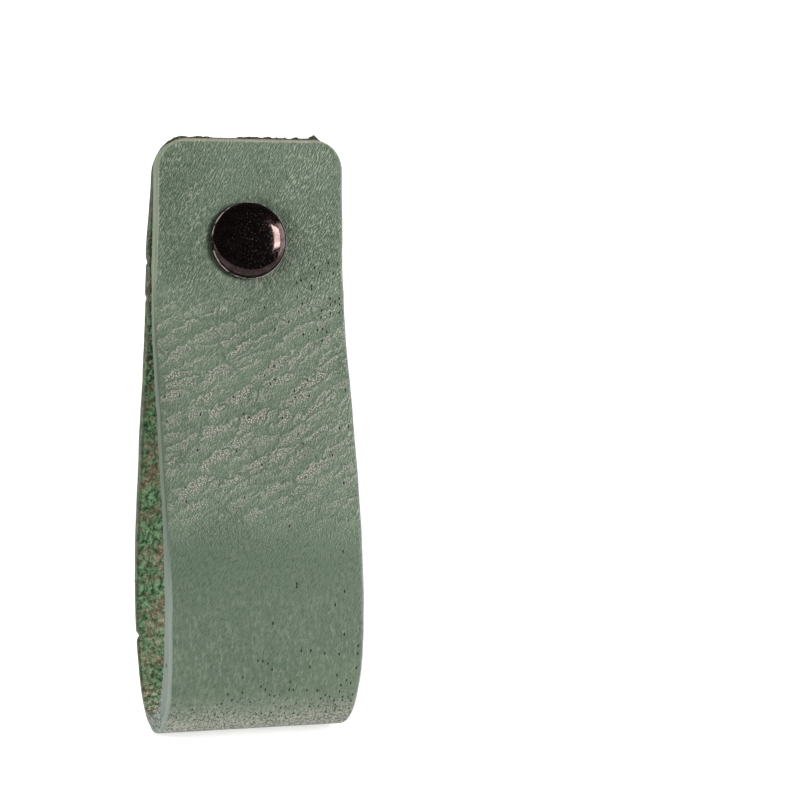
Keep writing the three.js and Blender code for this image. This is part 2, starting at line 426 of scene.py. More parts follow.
def folding_tree():
    tree, given = new_tree("fold_strap", [
        ("Fold Path", "NodeSocketObject"),
        ("Path Per Strap", "NodeSocketFloat"),
        ("Crease Depth", "NodeSocketFloat"),
        ("Nap Depth", "NodeSocketFloat"),
    ])
    flat = put(tree, "GeometryNodeInputPosition").outputs[0]
    x, along, height = parts(tree, flat)
    on_grain = ramp(tree, height, 0.2 * half, 0.95 * half)
    on_flesh = ramp(tree, height, -0.6 * half, -0.98 * half)

    crease = creases(tree, flat)[0]

    # The cap nut presses a shallow seat into the front leaf and puckers the leather round it
    spot = joined(tree, x, calc(tree, "SUBTRACT", along, HOLE_FROM_END), 0.0)
    radius = vector_calc(tree, "LENGTH", spot)
    seat = ramp(tree, radius, CAP_RADIUS * 1.00, CAP_RADIUS * 1.32, CAP_SEAT, 0.0)
    ray = scaled(tree, vector_calc(tree, "NORMALIZE", spot), PUCKER_TURN)
    pucker = calc(tree, "SUBTRACT", noise(tree, ray, 420, 0.0), 0.5)
    ringed = within(tree, radius, (4.6 * MM, 5.6 * MM), (8.5 * MM, 5.8 * MM))
    pucker = times(tree, times(tree, pucker, ringed), PUCKER_DEPTH)

    lift = times(tree, calc(tree, "SUBTRACT", crease, 0.5), given["Crease Depth"])
    lift = calc(tree, "ADD", calc(tree, "SUBTRACT", lift, seat), pucker)
    lift = times(tree, lift, on_grain)
    fuzz = noise(tree, flat, 1500, 3.0, 0.7)
    fuzz = times(tree, times(tree, fuzz, given["Nap Depth"]), on_flesh)
    raised = calc(tree, "ADD", calc(tree, "ADD", height, lift), fuzz)

    # Place on the path, with the face square to it
    curve = put(tree, "GeometryNodeObjectInfo", {"Object": given["Fold Path"]}).outputs["Geometry"]

    def on_path(length):
        made = put(
            tree, "GeometryNodeSampleCurve", {"Curves": curve, "Length": length}, mode="LENGTH",
        )
        return named(made.outputs, "Position"), named(made.outputs, "Tangent")

    at_back_end = ramp(tree, along, STRAP_LENGTH - 3 * MM, STRAP_LENGTH)
    uneven = ramp(tree, x, -4 * MM, 2 * MM, *BACK_END_RISES)
    ragged = weighed(tree, noise(tree, flat, 1100, 2.0), BACK_END_RAGGED, uneven)
    from_tuft = calc(tree, "ABSOLUTE", calc(tree, "SUBTRACT", x, TUFT_ACROSS))
    tuft = ramp(tree, from_tuft, 0.7 * MM, 0.1 * MM, 0.0, TUFT_RISE)
    ragged = calc(tree, "ADD", ragged, tuft)
    travelled = weighed(tree, at_back_end, ragged, along)
    travelled = times(tree, travelled, given["Path Per Strap"])
    place, heading = on_path(travelled)
    outwards = vector_calc(tree, "CROSS_PRODUCT", heading, (1, 0, 0))
    step = 1.5 * MM
    ahead = on_path(calc(tree, "ADD", travelled, step))[1]
    behind = on_path(calc(tree, "SUBTRACT", travelled, step))[1]
    turning = scaled(tree, vector_calc(tree, "SUBTRACT", behind, ahead), 1 / (2 * step))
    bending = vector_calc(tree, "DOT_PRODUCT", turning, outwards)
    curl = times(tree, times(tree, bending, raised), -SIDEWAYS_CURL)
    front_top = ramp(tree, along, 28 * MM, 4 * MM)
    back_top = ramp(tree, along, STRAP_LENGTH - 16 * MM, STRAP_LENGTH - 1 * MM)
    taper = times(tree, front_top, -TOP_TAPERS[0] / (STRAP_WIDTH / 2))
    taper = weighed(tree, back_top, -TOP_TAPERS[1] / (STRAP_WIDTH / 2), taper)
    widen = calc(tree, "ADD", calc(tree, "ADD", curl, taper), 1.0 + GIVE)
    side = ramp(tree, x, -1 * MM, 1 * MM)
    wave = calc(tree, "SUBTRACT", noise(tree, joined(tree, 0.0, along, side), 130, 2.0), 0.5)
    shift = weighed(tree, wave, WANDER, LEAN)
    shift = weighed(tree, front_top, TOP_SHIFTS[0], shift)
    shift = weighed(tree, back_top, TOP_SHIFTS[1], shift)
    at_left_edge = ramp(tree, x, -11.6 * MM, -12.5 * MM)
    for spot_along, depth in NICKS:
        nick = calc(tree, "ABSOLUTE", calc(tree, "SUBTRACT", along, spot_along))
        nick = times(tree, ramp(tree, nick, 0.6 * MM, 0.0), at_left_edge)
        shift = weighed(tree, nick, depth, shift)
    sideways = calc(tree, "ADD", times(tree, x, widen), shift)
    folded = vector_calc(tree, "ADD", place, scaled(tree, outwards, raised))
    askew = weighed(tree, x, FRONT_END_SKEW, FRONT_END_RISE)
    rise = times(tree, askew, ramp(tree, along, 9 * MM, 0.0))
    folded = vector_calc(tree, "ADD", folded, joined(tree, sideways, 0.0, rise))

    kept = put(
        tree, "GeometryNodeStoreNamedAttribute",
        {"Geometry": given["Geometry"], "Name": "hide", "Value": flat},
        data_type="FLOAT_VECTOR", domain="POINT",
    ).outputs[0]
    moved = put(tree, "GeometryNodeSetPosition", {"Geometry": kept, "Position": folded})
    finish_tree(tree, moved.outputs[0])
    return tree


def show(name, mesh):
    obj = bpy.data.objects.new(name, mesh)
    bpy.context.collection.objects.link(obj)
    return obj


strap = show("folded_strap", make_blank())
run_tree(strap, folding_tree(), {
    "Fold Path": path,
    "Path Per Strap": path_length / STRAP_LENGTH,
    "Crease Depth": CREASE_DEPTH,
    "Nap Depth": NAP_DEPTH,
})
bpy.data.objects.remove(path)

# Grain face
# Aniline dyed sage green, lightly finished. The tops of the pads get a painted sheen of pale grey
# beige, fine short ridges that lean across the face a painted highlight on their lit sides and
# painted shade on the others, and dark pores show where the hide is stretched or creased. Painted
# shade also lies in the cracks above the pads, between their beads and in a ring round the cap nut.
SAGE = (0.079, 0.117, 0.073)
SAGE_DEEP = (0.051, 0.082, 0.049)
# pale grey beige for the lit sides of the short leaning ridges: a painted highlight
RIDGE_HIGHLIGHT = (0.330, 0.345, 0.265)
# pale grey beige: real wear at the fold, and a painted sheen and painted highlights on the pads,
# their lips and the puckers
WORN_AND_SHEEN = (0.400, 0.386, 0.325)
# deep green: painted shade in the ridges, cracks, gaps between beads, round the cap nut and along
# the back leaf's border, and also the dark grit and the fold's dark flecks
SHADE_AND_SPECKS = (0.032, 0.050, 0.028)
PORE = (0.016, 0.019, 0.014)
TAN = (0.225, 0.208, 0.155)
# Lighter copies of the edge paint for where the bevel turns onto the face and faces away from the
# lamps: painted light
BEVEL_PAINT_LIT = (0.178, 0.207, 0.145)
BEVEL_COOL_LIT = (0.155, 0.192, 0.160)
BEVEL_TURN_LIT = (0.190, 0.230, 0.194)
SMOOTH_BEGINS, SMOOTH_ENDS = (50 * MM, 56 * MM), (74 * MM, 64 * MM)  # from the nearer end
FOLD_BEGINS = (71 * MM, 80 * MM)


def new_material(name):
    material = bpy.data.materials.new(name)
    material.use_nodes = True
    tree = material.node_tree
    tree.nodes.clear()
    return material, tree


def hide_places(tree):
    """Where a point lies on the flat hide: the vector, and its parts across and along."""
    place = put(tree, "ShaderNodeAttribute", attribute_name="hide").outputs["Vector"]
    x, along, _ = parts(tree, place)
    return place, x, along


def tint(tree, amount, plain, other):
    """Mixes two colours; either can be a socket."""
    made = tree.nodes.new("ShaderNodeMix")
    made.data_type = "RGBA"
    for name, value in (("Factor", amount), ("A", plain), ("B", other)):
        socket = next(s for s in made.inputs if s.name == name and s.enabled)
        if isinstance(value, bpy.types.NodeSocket):
            tree.links.new(value, socket)
        else:
            socket.default_value = (*value, 1) if name != "Factor" else value
    return next(s for s in made.outputs if s.enabled)


def coated(tree, colour, layers):
    """Lays colours over each other. Each layer says where, how strongly, and which colour."""
    for where, strength, over in layers:
        amount = where if strength == 1 else times(tree, where, strength)
        colour = tint(tree, amount, colour, over)
    return colour


def stretched(tree, vector, scale):
    return put(tree, "ShaderNodeMapping", {"Vector": vector, "Scale": scale}).outputs[0]


def surface(tree, colour, roughness, bump=None, strength=1.0, **others):
    """A Principled shader and the material's output. Other inputs are given by name."""
    inputs = {name.replace("_", " "): value for name, value in others.items()}
    inputs.update({"Base Color": colour, "Roughness": roughness})
    shader = put(tree, "ShaderNodeBsdfPrincipled", inputs)
    if bump is not None:
        bumped = put(tree, "ShaderNodeBump", {"Height": bump, "Distance": MM, "Strength": strength})
        tree.links.new(bumped.outputs[0], shader.inputs["Normal"])
    put(tree, "ShaderNodeOutputMaterial", {"Surface": shader.outputs[0]})
    return shader


def spots(tree, vector, scale, size, share, dimensions="2D"):
    """Round dots on a scattered grid: how much of a point is dot. Share of the cells have one."""
    cells = put(tree, "ShaderNodeTexVoronoi", {"Vector": vector, "Scale": scale},
                voronoi_dimensions=dimensions)
    chosen = put(tree, "ShaderNodeSeparateColor", {0: cells.outputs["Color"]}).outputs[0]
    keep = calc(tree, "LESS_THAN", chosen, share)
    return times(tree, ramp(tree, cells.outputs["Distance"], size, size * 0.5), keep)


def beads(tree, vector, scale):
    """Small rounded bumps lying side by side, one in the middle and nothing between them."""
    cells = put(tree, "ShaderNodeTexVoronoi", {"Vector": vector, "Scale": scale},
                voronoi_dimensions="2D")
    return ramp(tree, cells.outputs["Distance"], 0.55, 0.15)


def grain_material():
    material, tree = new_material("grain_face")
    place, x, along = hide_places(tree)
    from_end = from_nearer_end(tree, along)
    pad, shaded_crack, lip_highlight = creases(tree, place)
    top = ramp(tree, from_end, 26 * MM, 16 * MM)
    smooth = within(tree, from_end, SMOOTH_BEGINS, SMOOTH_ENDS)
    fold = ramp(tree, from_end, *FOLD_BEGINS)

    # Fine relief: round beads, and above the cap nut short ridges that lean to the right
    bead = beads(tree, vector_calc(tree, "ADD", place, spread(tree, place, 2500, 0.08 * MM)), 3700)
    lean = weighed(tree, along, 0.52, x)
    leaning = joined(tree, lean, times(tree, along, 0.34), 0.0)
    leaning = vector_calc(tree, "ADD", leaning, spread(tree, place, 1300, 0.12 * MM))
    ridge = noise(tree, leaning, 4700, 1.0, 0.6)
    lit, shaded = ramp(tree, ridge, 0.53, 0.62), ramp(tree, ridge, 0.46, 0.38)
    band = joined(tree, weighed(tree, along, 0.85, x), times(tree, along, 0.30), 3.0)
    clump = ramp(tree, noise(tree, band, 400, 3.0, 0.65), 0.40, 0.58)
    fine = noise(tree, place, 4200, 2.0, 0.6)
    grit = noise(tree, vector_calc(tree, "ADD", place, (0.2, 0.1, 0.3)), 6200, 1.0)

    # Puckers that run out from under the cap nut, with a painted highlight along their ridges
    spot = joined(tree, x, calc(tree, "SUBTRACT", along, HOLE_FROM_END), 0.0)
    radius = vector_calc(tree, "LENGTH", spot)
    ray = scaled(tree, vector_calc(tree, "NORMALIZE", spot), PUCKER_TURN)
    ray = vector_calc(tree, "ADD", ray, spread(tree, place, 500, 0.35 * MM))
    below = calc(tree, "SUBTRACT", along, HOLE_FROM_END)
    below = ramp(tree, below, -2 * MM, 3 * MM, 0.15, 1.0)
    close_by = ramp(tree, radius, 7.1 * MM, 5.5 * MM)
    pucker = times(tree, ramp(tree, noise(tree, ray, 1500, 1.0), 0.54, 0.60), close_by)
    pucker = times(tree, pucker, below)

    # How much of each kind a place has
    # Painted highlight on the lit sides of the short ridges, in clumps, strongest in the top
    # stretch
    ridge_highlight = times(tree, lit, weighed(tree, clump, 0.85, 0.15))
    plain = calc(tree, "SUBTRACT", 0.20, times(tree, ramp(tree, from_end, 44 * MM, 54 * MM), 0.14))
    ridge_highlight = times(tree, ridge_highlight, weighed(tree, top, 0.22, plain))
    # Painted shade on the sides of the short ridges turned from the light
    hollow = times(tree, shaded, weighed(tree, top, 0.12, 0.08))
    # Painted sheen on the pads, strongest on their beads
    pad_sheen = times(tree, pad, weighed(tree, bead, 0.62, 0.38))
    # Painted shade in the gaps between the beads of the pads
    between = times(tree, pad, calc(tree, "SUBTRACT", 1.0, bead))
    # A faint painted sheen over the creased stretch
    sheen_veil = within(tree, from_end, (20 * MM, 34 * MM), (53 * MM, 40 * MM))
    threads = noise(tree, stretched(tree, place, (1, 0.34, 1)), 3600, 2.0, 0.6)
    threads = ramp(tree, threads, 0.44, 0.74)
    low = times(tree, ramp(tree, from_end, 54 * MM, 66 * MM), threads)
    coarse = noise(tree, stretched(tree, place, (1, 0.6, 1)), 4300, 1.0)
    dusty = times(tree, fold, ramp(tree, coarse, 0.44, 0.56))
    dull = times(tree, fold, ramp(tree, coarse, 0.46, 0.36))

    crowd = calc(tree, "MAXIMUM", times(tree, pad, 0.24), times(tree, fold, 0.62))
    crowd = calc(tree, "MAXIMUM", crowd, ramp(tree, from_end, 62 * MM, 74 * MM, 0.004, 0.34))
    crowd = times(tree, crowd, ramp(tree, x, -11 * MM, 8 * MM, 0.35, 1.0))
    tall = stretched(tree, place, (1.2, 0.66, 1))
    beside = within(tree, from_end, (12 * MM, 19 * MM), (29 * MM, 23 * MM))
    beside = times(tree, beside, ramp(tree, x, 1 * MM, 10 * MM, 0.0, 0.30))
    crowd = calc(tree, "MAXIMUM", crowd, beside)
    pores = spots(tree, tall, 1350, 0.23, crowd)
    pinpricks = spots(tree, tall, 2900, 0.32, times(tree, fold, 0.60))
    pores = calc(tree, "MAXIMUM", pores, pinpricks)

    gritty = times(tree, ramp(tree, grit, 0.52, 0.36), weighed(tree, smooth, -0.18, 0.30))
    # Painted shadow in a thin ring round the cap nut
    cap_shadow = ramp(tree, radius, CAP_RADIUS * 1.17, CAP_RADIUS * 1.03)

    # The painted bevel along the border, given a lighter colour as painted light, the raw front
    # end, and the bare border of the back leaf, darkened with painted shade
    inset = from_outline(tree, x, along)
    painted = ramp(tree, inset, 0.47 * MM, 0.34 * MM)
    painted = times(tree, painted, ramp(tree, x, 10 * MM, 6 * MM, 0.1, 1.0))
    bulging = within(tree, along, (50 * MM, 60 * MM), (83 * MM, 78 * MM))
    raw_end = ramp(tree, weighed(tree, coarse, 0.5 * MM, along), 0.75 * MM, 0.55 * MM)
    # Painted shade darkens the bare border of the back leaf
    bare = ramp(tree, inset, 0.50 * MM, 0.15 * MM)
    bare = times(tree, bare, ramp(tree, along, 83 * MM, 88 * MM))

    broad = noise(tree, place, 70, 2.0)
    dyed = tint(tree, ramp(tree, broad, 0.35, 0.65), SAGE, SAGE_DEEP)
    # Painted light among these layers: the sheen on the pads and over the creased stretch, the
    # highlights on ridges, lips, puckers and bevels, and the shade on ridges, between beads, in
    # cracks, round the cap nut and along the back leaf's border.
    colour = coated(tree, dyed, (
        (smooth, 0.95, SAGE_DEEP),
        (sheen_veil, 0.035, WORN_AND_SHEEN),
        (pad_sheen, 0.88, WORN_AND_SHEEN),
        (between, 0.74, SHADE_AND_SPECKS),
        (lip_highlight, 0.34, WORN_AND_SHEEN),
        (ridge_highlight, 1, RIDGE_HIGHLIGHT),
        (low, 0.17, WORN_AND_SHEEN),
        (dusty, 0.72, WORN_AND_SHEEN),
        (fold, 0.20, WORN_AND_SHEEN),
        (dull, 0.32, SHADE_AND_SPECKS),
        (pucker, 0.20, WORN_AND_SHEEN),
        (hollow, 1, SHADE_AND_SPECKS),
        (gritty, 1, SHADE_AND_SPECKS),
        (cap_shadow, 0.55, SHADE_AND_SPECKS),
        (shaded_crack, 0.20, SHADE_AND_SPECKS),
        (pores, 0.92, PORE),
        (painted, ramp(tree, along, 24 * MM, 16 * MM), BEVEL_PAINT_LIT),
        (painted, bulging, BEVEL_COOL_LIT),
        (raw_end, ramp(tree, fine, 0.35, 0.60, 0.35, 0.95), TAN),
        (bare, 0.7, SHADE_AND_SPECKS),
    ))

    calm = weighed(tree, smooth, -0.7, 1.0)
    relief = times(tree, bead, weighed(tree, pad, 0.055, 0.018))
    relief = weighed(tree, ridge, weighed(tree, top, 0.11, 0.05), relief)
    relief = weighed(tree, fine, 0.05, relief)
    relief = weighed(tree, low, 0.02, relief)
    relief = times(tree, relief, calm)
    for raised, height in ((pad, 0.13), (pucker, 0.06), (shaded_crack, -0.03), (pores, -0.08)):
        relief = weighed(tree, raised, height, relief)
    rough = weighed(tree, fine, 0.16, 0.40)
    sunk = calc(tree, "MAXIMUM", pores, times(tree, shaded, 0.6))
    surface(tree, colour, rough, relief, 1.0, Specular_IOR_Level=weighed(tree, sunk, -0.42, 0.45))
    return material


# Flesh side
# Split suede, brushed up: green dye has taken unevenly over brown fibre, so it is mottled in
# vivid green, dark green, brown and tan, and browner where the strap rolls over.
SUEDE_GREENS = ((0.030, 0.060, 0.028), (0.260, 0.480, 0.262))
SUEDE_BROWNS = ((0.098, 0.080, 0.050), (0.530, 0.435, 0.305))
SUEDE_TAN = (0.600, 0.530, 0.390)
# dark brown green: dark fibres at the back leaf's border, and painted shade inside the loop's top
SUEDE_DARK_AND_SHADE = (0.030, 0.030, 0.022)
# pale green on a share of the loose fibres: a painted highlight
NAP_HIGHLIGHT = (0.330, 0.480, 0.350)
PAINT_ENDS = (84 * MM, 90 * MM)


def suede_colour(tree, place, x, along):
    brushed = stretched(tree, place, (1, 0.75, 0.5))
    fleck = noise(tree, brushed, 1800, 3.0, 0.78, 0.5)
    other = noise(tree, vector_calc(tree, "ADD", brushed, (0.31, 0.17, 0.05)), 2000, 3.0, 0.75, 0.4)
    patch = noise(tree, place, 240, 3.0, 0.6)
    from_fold = calc(tree, "ABSOLUTE", calc(tree, "SUBTRACT", along, STRAP_LENGTH / 2))
    rolled = ramp(tree, from_fold, 30 * MM, 8 * MM)
    green = tint(tree, ramp(tree, fleck, 0.38, 0.66), *SUEDE_GREENS)
    brown = tint(tree, ramp(tree, other, 0.40, 0.68), *SUEDE_BROWNS)
    share = weighed(tree, patch, 0.48, times(tree, rolled, 0.005))
    clump = noise(tree, brushed, 1250, 3.0, 0.7)
    share = weighed(tree, clump, 0.52, share)
    mottled = tint(tree, ramp(tree, share, 0.43, 0.63), green, brown)
    bare = times(tree, ramp(tree, from_fold, 9.5 * MM, 5 * MM), ramp(tree, other, 0.50, 0.57))
    # The back leaf's border: dark fibres at the cut, darkened further with painted shade
    border = ramp(tree, from_outline(tree, x, along), 0.45 * MM, 0.15 * MM)
    border = times(tree, border, ramp(tree, along, *PAINT_ENDS))
    # Painted shade: flecks darken further into the narrowing loop, and all darkens towards the
    # clamped top
    sunk = times(tree, ramp(tree, fleck, 0.58, 0.46), ramp(tree, along, 125 * MM, 145 * MM))
    shade_at_top = ramp(tree, along, 150 * MM, 160 * MM)
    return coated(tree, mottled, (
        (bare, 0.85, SUEDE_TAN),
        (border, 0.7, SUEDE_DARK_AND_SHADE),
        (sunk, 0.80, SUEDE_DARK_AND_SHADE),
        (shade_at_top, 0.6, SUEDE_DARK_AND_SHADE),
    ))


def suede_material(name, fibres=False):
    material, tree = new_material(name)
    place, x, along = hide_places(tree)
    colour = suede_colour(tree, place, x, along)
    if fibres:
        lot = put(tree, "ShaderNodeAttribute", attribute_name="lot").outputs["Fac"]
        # Painted highlight on a share of the fibres
        colour = tint(tree, ramp(tree, lot, 0.70, 1.0, 0.0, 0.8), colour, NAP_HIGHLIGHT)
    tuft = noise(tree, place, 1700, 3.0, 0.75, 0.6)
    surface(tree, colour, 0.92, tuft, 0.5, Specular_IOR_Level=0.1)
    return material


# Cut edge
# Sanded and painted a paler green grey than the face, from the front end round the fold. Behind,
# the paint has gone into the fibres and the edge looks like the flesh side.
EDGE_PAINT = (0.135, 0.162, 0.112)
EDGE_DULL = (0.080, 0.107, 0.076)
EDGE_COOL = (0.128, 0.158, 0.132)
EDGE_SHADE = (0.050, 0.062, 0.050)
EDGE_DUST = (0.235, 0.250, 0.222)
RAW_EDGE = (0.055, 0.068, 0.050)
DARK_FLECK = (67.9 * MM, 0.1 * MM)  # along the left edge, and up from its middle


def edge_material():
    material, tree = new_material("cut_edge")
    place, x, along = hide_places(tree)
    height = parts(tree, place)[2]
    bevel = ramp(tree, height, half - 0.55 * MM, half - 0.15 * MM)
    cool = ramp(tree, along, 48 * MM, 64 * MM)
    rounded = ramp(tree, height, half - 0.36 * MM, half - 0.16 * MM)
    streak = noise(tree, stretched(tree, place, (1, 0.12, 1)), 2400, 3.0, 0.6)
    from_fleck = vector_calc(tree, "DISTANCE", place, (-STRAP_WIDTH / 2, *DARK_FLECK))

    # The paint has cracked into specks where the edge rolls over, on its inner half first
    lying = joined(tree, times(tree, along, 0.45), height, 0.0)
    onset = weighed(tree, height, -3.2, along)
    cracked = ramp(tree, onset, 73 * MM, 77.5 * MM)
    grit = noise(tree, lying, 3200, 1.0, 0.5)
    dots = spots(tree, lying, 2700, 0.46, times(tree, cracked, 0.72))
    # Painted light: the bevel and its turn get lighter copies of the paint
    colour = coated(tree, tint(tree, bevel, EDGE_PAINT, BEVEL_PAINT_LIT), (
        (ramp(tree, along, 16 * MM, 30 * MM), 1, EDGE_DULL),
        (cool, 1, EDGE_COOL),
        (rounded, cool, BEVEL_TURN_LIT),
        (ramp(tree, streak, 0.56, 0.74), 0.4, EDGE_SHADE),
        (ramp(tree, grit, 0.54, 0.62), cracked, EDGE_DUST),
        (ramp(tree, grit, 0.48, 0.40), cracked, EDGE_SHADE),
        (dots, 1, PORE),
        (ramp(tree, from_fleck, 0.32 * MM, 0.20 * MM), 1, PORE),
    ))
    outer = ramp(tree, height, -0.3 * MM, 0.3 * MM)
    outer = times(tree, outer, ramp(tree, along, 136 * MM, 128 * MM))
    raw = tint(tree, times(tree, outer, 0.8), suede_colour(tree, place, x, along), RAW_EDGE)
    behind = ramp(tree, along, *PAINT_ENDS)
    colour = tint(tree, behind, colour, raw)
    colour = tint(tree, ramp(tree, along, 0.5 * MM, 0.2 * MM), colour, TAN)
    surface(tree, colour, 0.6, streak, 0.3, Specular_IOR_Level=weighed(tree, behind, -0.25, 0.3))
    return material


for material in (grain_material(), edge_material(), suede_material("flesh_side")):
    strap.data.materials.append(material)
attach(strap, "root")
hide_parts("strap")

# Nap of the flesh side
# Loose fibre ends that stand up from the suede, with others along the cut edge: more of them
# behind, where the edge is bare, and most on the torn end of the back leaf.
FIBRE_GIRTH = 0.09  # of its length, at the root
FIBRE_LEAN = 1.1


def fibre_mesh():
    """One fibre end, a three sided sliver with a bend in it, one metre long for scaling."""
    points = []
    for height, lean, girth in ((0.0, 0.0, 1.0), (0.5, 0.12, 0.8)):
        for turn in (0, 2, 4):
            angle = turn * math.pi / 3
            out = FIBRE_GIRTH * girth
            points.append((lean + out * math.cos(angle), out * math.sin(angle), height))
    points.append((0.42, 0.0, 0.95))
    faces = [(0, 2, 1)]
    for a in range(3):
        b = (a + 1) % 3
        faces += [(a, b, b + 3, a + 3), (a + 3, b + 3, 6)]
    mesh = bpy.data.meshes.new("fibre")
    mesh.from_pydata(points, [], faces)
    return mesh


def nap_tree():
    tree, given = new_tree("raise_nap", [
        ("Fibre", "NodeSocketObject"),
        ("Skin", "NodeSocketInt"),
        ("Least Along", "NodeSocketFloat"),
        ("Fibres Per Square Metre", "NodeSocketFloat"),
        ("Fibre Length", "NodeSocketFloat"),
        ("Nap Material", "NodeSocketMaterial"),
        ("Seed", "NodeSocketInt"),
    ])
    skin = put(tree, "GeometryNodeInputMaterialIndex").outputs[0]
    on_skin = put(
        tree, "FunctionNodeCompare", {"A": skin, "B": given["Skin"]},
        data_type="INT", operation="EQUAL",
    ).outputs[0]
    hide = put(
        tree, "GeometryNodeInputNamedAttribute", {"Name": "hide"}, data_type="FLOAT_VECTOR",
    )
    along = parts(tree, named(hide.outputs, "Attribute"))[1]
    wanted = times(tree, on_skin, calc(tree, "GREATER_THAN", along, given["Least Along"]))
    scattered = put(
        tree, "GeometryNodeDistributePointsOnFaces",
        {"Mesh": given["Geometry"], "Selection": wanted,
         "Density": given["Fibres Per Square Metre"], "Seed": given["Seed"]},
    )
    fibre = put(tree, "GeometryNodeObjectInfo", {"Object": given["Fibre"]}).outputs["Geometry"]

    def chance(low, high, lot, kind="FLOAT"):
        made = put(
            tree, "FunctionNodeRandomValue", {"Min": low, "Max": high, "Seed": lot}, data_type=kind,
        )
        return named(made.outputs, "Value")

    lean = chance((-FIBRE_LEAN,) * 3, (FIBRE_LEAN,) * 3, 5, "FLOAT_VECTOR")
    leaning = vector_calc(tree, "ADD", scattered.outputs["Normal"], lean)
    turned = put(
        tree, "FunctionNodeAlignRotationToVector", {"Vector": leaning}, axis="Z",
    ).outputs[0]
    length = times(tree, chance(0.35, 1.1, 6), given["Fibre Length"])
    standing = put(
        tree, "GeometryNodeInstanceOnPoints",
        {"Points": scattered.outputs["Points"], "Instance": fibre, "Rotation": turned,
         "Scale": joined(tree, length, length, length)},
    ).outputs[0]
    lots = put(
        tree, "GeometryNodeStoreNamedAttribute",
        {"Geometry": standing, "Name": "lot", "Value": chance(0.0, 1.0, 7)},
        data_type="FLOAT", domain="INSTANCE",
    ).outputs[0]
    real = put(tree, "GeometryNodeRealizeInstances", {"Geometry": lots}).outputs[0]
    covered = put(
        tree, "GeometryNodeSetMaterial", {"Geometry": real, "Material": given["Nap Material"]},
    )
    finish_tree(tree, covered.outputs[0])
    return tree


fibre = show("fibre", fibre_mesh())
fibre_colour = suede_material("nap_fibre", fibres=True)
for name, skin, least_along, per_m2, length, seed in (
    ("suede_nap", FLESH, 0.0, 3.0e6, 0.55 * MM, 11),
    ("raw_edge_fibres", EDGE, 90 * MM, 7.0e6, 0.45 * MM, 12),
    ("loose_edge_fibres", EDGE, 0.0, 5.0e5, 0.40 * MM, 13),
    ("torn_end_fibres", EDGE, STRAP_LENGTH - 0.5 * MM, 3.0e7, 0.50 * MM, 14),
):
    nap = show(name, strap.data.copy())
    run_tree(nap, nap_tree(), {
        "Fibre": fibre,
        "Skin": skin,
        "Least Along": least_along,
        "Fibres Per Square Metre": per_m2,
        "Fibre Length": length,
        "Nap Material": fibre_colour,
        "Seed": seed,
    })
    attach(nap, "root")
bpy.data.objects.remove(fibre)

# Cap nut
# Turned in one piece and plated in black nickel: a low dome with a rounded shoulder and a thin
# rim, and behind it a hollow post that goes through both leaves and takes the screw.
cap_low, cap_high = (Vector(corner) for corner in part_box("cap_nut"))
CAP_BACK = -(STACK - 0.2 * MM)
DOME_FLATNESS = 3.5
RIM_HEIGHT = 0.4 * MM
RIM_CHAMFER = 0.08 * MM
POST_RADIUS = 2.7 * MM
POST_CHAMFER = 0.3 * MM
BORE_RADIUS = 2.02 * MM
BORE_WEB = 0.6 * MM
TURNED_SEGMENTS = 128
DOME_STEPS = 28
NICKEL, NICKEL_DEEP = (0.041, 0.031, 0.029), (0.027, 0.018, 0.018)
NICKEL_DUST = (0.26, 0.20, 0.18)
# pale pink grey of the worn rim, pale enough to stand in for its bright line: partly a painted
# highlight
WORN_RIM_HIGHLIGHT = (0.44, 0.35, 0.34)


def arc(centre, radii, start, end, steps):
    """Points of an ellipse in a profile, each a radius and a place along the axis."""
    turns = [math.radians(start + (end - start) * i / steps) for i in range(steps + 1)]
    return [(centre[0] + radii[0] * math.cos(t), centre[1] + radii[1] * math.sin(t)) for t in turns]


def turn_on_lathe(name, profile, segments=TURNED_SEGMENTS):
    """A closed solid turned round the screw's axis. The profile starts and ends on the axis."""
    points, faces = [(0, profile[0][1], 0)], []
    rings = profile[1:-1]
    for radius, y in rings:
        for i in range(segments):
            angle = 2 * math.pi * i / segments
            points.append((radius * math.cos(angle), y, radius * math.sin(angle)))
    points.append((0, profile[-1][1], 0))
    tip = len(points) - 1
    last = tip - segments
    for i in range(segments):
        j = (i + 1) % segments
        faces.append((0, 1 + i, 1 + j))
        for k in range(len(rings) - 1):
            a, b = 1 + k * segments + i, 1 + k * segments + j
            faces.append((a, a + segments, b + segments, b))
        faces.append((tip, last + j, last + i))
    mesh = bpy.data.meshes.new(name)
    mesh.from_pydata(points, [], faces)
    mesh.update()
    return mesh


def soften(mesh, angle=35):
    """Smooth shading that keeps the turned corners crisp."""
    mesh.polygons.foreach_set("use_smooth", [True] * len(mesh.polygons))
    mesh.set_sharp_from_angle(angle=math.radians(angle))


def cap_profile():
    face = cap_low.y
    radius = cap_high.x
    rim = CAP_BACK - RIM_HEIGHT
    dome = []
    for step in range(DOME_STEPS):
        out = math.sin(math.pi / 2 * step / DOME_STEPS)
        dome.append((radius * out, rim - (rim - face) * math.sqrt(1 - out ** DOME_FLATNESS)))
    return dome + [
        (radius, rim),
        (radius, CAP_BACK - RIM_CHAMFER),
        (radius - RIM_CHAMFER, CAP_BACK),
        (POST_RADIUS, CAP_BACK),
        (POST_RADIUS, cap_high.y - POST_CHAMFER),
        (POST_RADIUS - POST_CHAMFER, cap_high.y),
        (BORE_RADIUS, cap_high.y),
        (BORE_RADIUS, CAP_BACK - BORE_WEB),
        (0, CAP_BACK - BORE_WEB),
    ]


